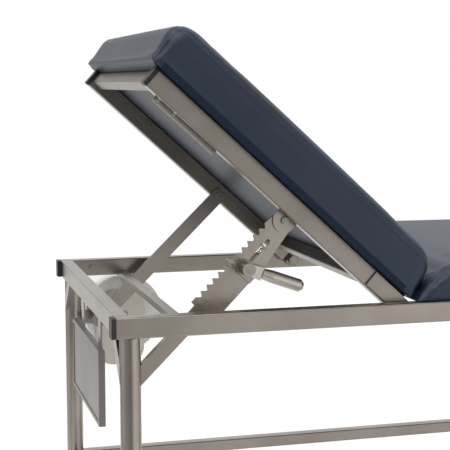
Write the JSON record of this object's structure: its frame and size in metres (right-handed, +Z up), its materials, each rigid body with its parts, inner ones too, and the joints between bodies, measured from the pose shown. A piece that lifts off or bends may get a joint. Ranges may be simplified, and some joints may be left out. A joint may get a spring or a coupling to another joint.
{
  "type": "examination table",
  "caption": "Examination table: brushed steel frame on four legs, padded seat, tilting padded backrest with a toothed release strut and a far side stay, nameplate tray and paper roll.",
  "frame": {"origin": "bottom centre of the table's box at rest, on the floor", "axes": "+X from the head end to the foot end, +Y from the near side to the far side of the picture, +Z up"},
  "size_m": [1.896, 0.8174, 1.1643],
  "materials": {
    "stainless_steel": "satin",
    "zinc_steel": "satin",
    "black_plastic": "matte",
    "black_rubber": "matte",
    "vinyl_cover": "satin",
    "board_cloth": "matte",
    "roll_paper": "matte",
    "core_card": "matte",
    "white_plastic": "matte"
  },
  "bodies": {
    "frame": {"near_side_rail": "stainless_steel", "far_side_rail": "stainless_steel", "head_cross_rail": "stainless_steel", "foot_cross_rail": "stainless_steel", "rail_end_plugs": "black_plastic", "ratchet_crossbar": "stainless_steel", "seat_cross_tubes": "stainless_steel", "legs": "stainless_steel", "leg_feet": "black_rubber", "leg_braces": "stainless_steel", "head_end_braces": "stainless_steel", "long_stretchers": "stainless_steel", "end_stretchers": "stainless_steel", "frame_screws": "zinc_steel", "nameplate_tray": "stainless_steel", "nameplate_hangers": "stainless_steel", "hinge_bolts": "zinc_steel", "ratchet_lug": "stainless_steel", "stay_rest_stud": "zinc_steel", "roll_bracket": "stainless_steel", "roll_spindle": "zinc_steel", "roll_keeper": "white_plastic", "seat_board": "board_cloth", "seat_pad": "vinyl_cover", "seat_board_screws": "zinc_steel"},
    "backrest": {"near_backrest_rail": "stainless_steel", "far_backrest_rail": "stainless_steel", "backrest_head_tube": "stainless_steel", "backrest_lower_tube": "stainless_steel", "backrest_end_plugs": "black_plastic", "backrest_hinge_plates": "stainless_steel", "backrest_board": "board_cloth", "backrest_pad": "vinyl_cover", "backrest_stiffener": "stainless_steel", "backrest_screws": "zinc_steel", "ratchet_ear": "stainless_steel", "strut_upper_bolt": "zinc_steel", "stay_bolt": "zinc_steel"},
    "upper_strut": {"upper_toothed_plate": "stainless_steel", "lever_pin": "zinc_steel", "lever_spring": "zinc_steel", "spring_seat": "zinc_steel"},
    "lower_strut": {"lower_toothed_plate": "stainless_steel", "strut_lower_bolt": "zinc_steel"},
    "lever": {"release_boss": "stainless_steel", "pawl": "stainless_steel", "release_lever": "stainless_steel"},
    "stay": {"far_stay_bar": "stainless_steel"},
    "roll": {"roll_core": "core_card", "paper_roll": "roll_paper"}
  },
  "joints": [
    {"name": "backrest_hinge", "type": "hinge", "parent": "frame", "child": "backrest", "pos_m": [-0.42, -0.06075, 0.6825], "axis": [0, 1, 0], "range_deg": [-37, 5]},
    {"name": "strut_pivot", "type": "hinge", "parent": "backrest", "child": "upper_strut", "pos_m": [-0.6363, -0.34775, 0.84429], "axis": [0, 1, 0], "range_deg": [-6, 42]},
    {"name": "strut_slide", "type": "slide", "parent": "upper_strut", "child": "lower_strut", "axis": [-0.6972, 0, -0.7169], "range_m": [-0.125, 0.018]},
    {"name": "release_lever", "type": "hinge", "parent": "upper_strut", "child": "lever", "pos_m": [-0.70805, -0.34775, 0.76621], "axis": [0, 1, 0], "range_deg": [0, 14], "stiffness_Nm_per_rad": 2, "springref_deg": -11.46},
    {"name": "stay_pivot", "type": "hinge", "parent": "backrest", "child": "stay", "pos_m": [-0.60081, 0.22625, 0.83588], "axis": [0, 1, 0], "range_deg": [-6, 38]},
    {"name": "roll_spin", "type": "hinge", "parent": "frame", "child": "roll", "pos_m": [-0.802, -0.06075, 0.576], "axis": [0, 1, 0], "continuous": true}
  ],
  "couplings": [
    {"joint": "strut_pivot", "follows": "backrest_hinge", "ratio": -1.1},
    {"joint": "strut_slide", "follows": "backrest_hinge", "m_per_rad": 0.189},
    {"joint": "stay_pivot", "follows": "backrest_hinge", "ratio": -1}
  ]
}
